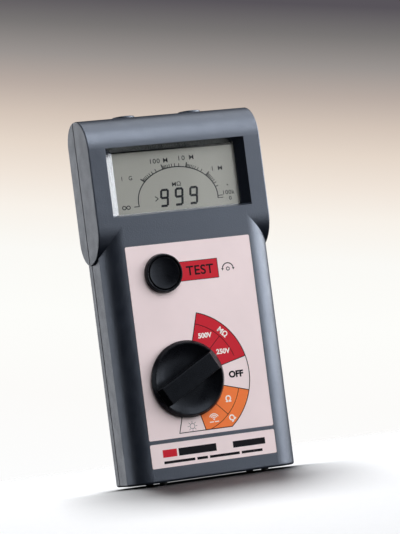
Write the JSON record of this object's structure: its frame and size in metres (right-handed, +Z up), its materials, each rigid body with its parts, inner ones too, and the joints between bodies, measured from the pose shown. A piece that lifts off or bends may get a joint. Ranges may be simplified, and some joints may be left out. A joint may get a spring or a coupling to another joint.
{
  "type": "insulation resistance tester",
  "caption": "Handheld insulation and continuity tester: wide head with a display, rotary range knob, press-and-turn test button, test sockets on top.",
  "frame": {"origin": "on the floor, under the middle of the bounding box, with the tester standing on its lower end", "axes": "+Z up along the case, -Y out of the front face, +X to the right seen from the front"},
  "size_m": [0.098, 0.0384, 0.1975],
  "materials": {
    "case_plastic": "satin moulded, fine texture",
    "black_rubber": "matt",
    "label_film": "satin polyester film",
    "clear_window": "clear",
    "lcd": "satin polariser",
    "black_plastic": "matt",
    "knob_plastic": "satin",
    "white_plastic": "natural acetal",
    "spring_steel": "bright",
    "screw_steel": "zinc plated",
    "contact_brass": "bright",
    "shroud_plastic": "satin",
    "board_laminate": "solder mask",
    "ferrite": "ground ferrite",
    "coil_tape": "polyester tape",
    "can_aluminium": "sleeved can",
    "cell_jacket": "printed jacket",
    "fuse_ceramic": "unglazed",
    "cap_nickel": "nickel plated"
  },
  "bodies": {
    "case": {"front_case": "case_plastic", "rear_case": "case_plastic", "case_seal": "black_rubber", "end_feet": "black_rubber", "spindle_seal": "black_rubber", "window_gasket": "black_rubber", "contact_strips": "black_rubber", "control_label": "label_film", "name_plate": "label_film", "rear_label": "label_film", "display_window": "clear_window", "lcd_glass": "lcd", "lcd_holder": "black_plastic", "button_collar": "knob_plastic", "spindle_bush": "white_plastic", "detent_spring": "spring_steel", "button_spring": "spring_steel", "cell_springs": "spring_steel", "contact_plates": "spring_steel", "case_screws": "screw_steel", "board_screws": "screw_steel", "left_socket_contact": "contact_brass", "right_socket_contact": "contact_brass", "socket_links": "contact_brass", "fuse_clips": "contact_brass", "left_socket_shroud": "shroud_plastic", "right_socket_shroud": "shroud_plastic", "dome_switch": "black_plastic", "main_board": "board_laminate", "chips": "black_plastic", "transformer_core": "ferrite", "transformer_coil": "coil_tape", "capacitors": "can_aluminium", "relays": "white_plastic", "buzzer": "black_plastic", "cell_1": "cell_jacket", "cell_2": "cell_jacket", "cell_3": "cell_jacket", "cell_4": "cell_jacket", "fuse_body": "fuse_ceramic", "fuse_caps": "cap_nickel"},
    "range_selector": {"range_knob": "knob_plastic", "knob_spindle": "white_plastic", "knob_clip": "spring_steel", "detent_wheel": "white_plastic", "switch_rotor": "white_plastic", "wiper_contacts": "contact_brass"},
    "plunger": {"button_plunger": "white_plastic"},
    "test_cap": {"test_button": "knob_plastic"},
    "cover": {"battery_cover": "case_plastic", "cover_screws": "screw_steel"}
  },
  "joints": [
    {"name": "range_turn", "type": "hinge", "parent": "case", "child": "range_selector", "pos_m": [-0.00997, -0.01275, 0.0538], "axis": [0, -1, 0], "range_deg": [-120, 30]},
    {"name": "test_press", "type": "slide", "parent": "case", "child": "plunger", "axis": [0, 1, 0], "range_m": [0, 0.0018], "stiffness_N_per_m": 500, "springref_m": -0.003, "deforming": ["button_spring"]},
    {"name": "test_turn", "type": "hinge", "parent": "plunger", "child": "test_cap", "pos_m": [-0.0159, -0.01275, 0.1106], "axis": [0, -1, 0], "range_deg": [-45, 45]},
    {"name": "cover_release", "type": "slide", "parent": "case", "child": "cover", "axis": [0, 1, 0], "range_m": [0, 0.02]}
  ]
}
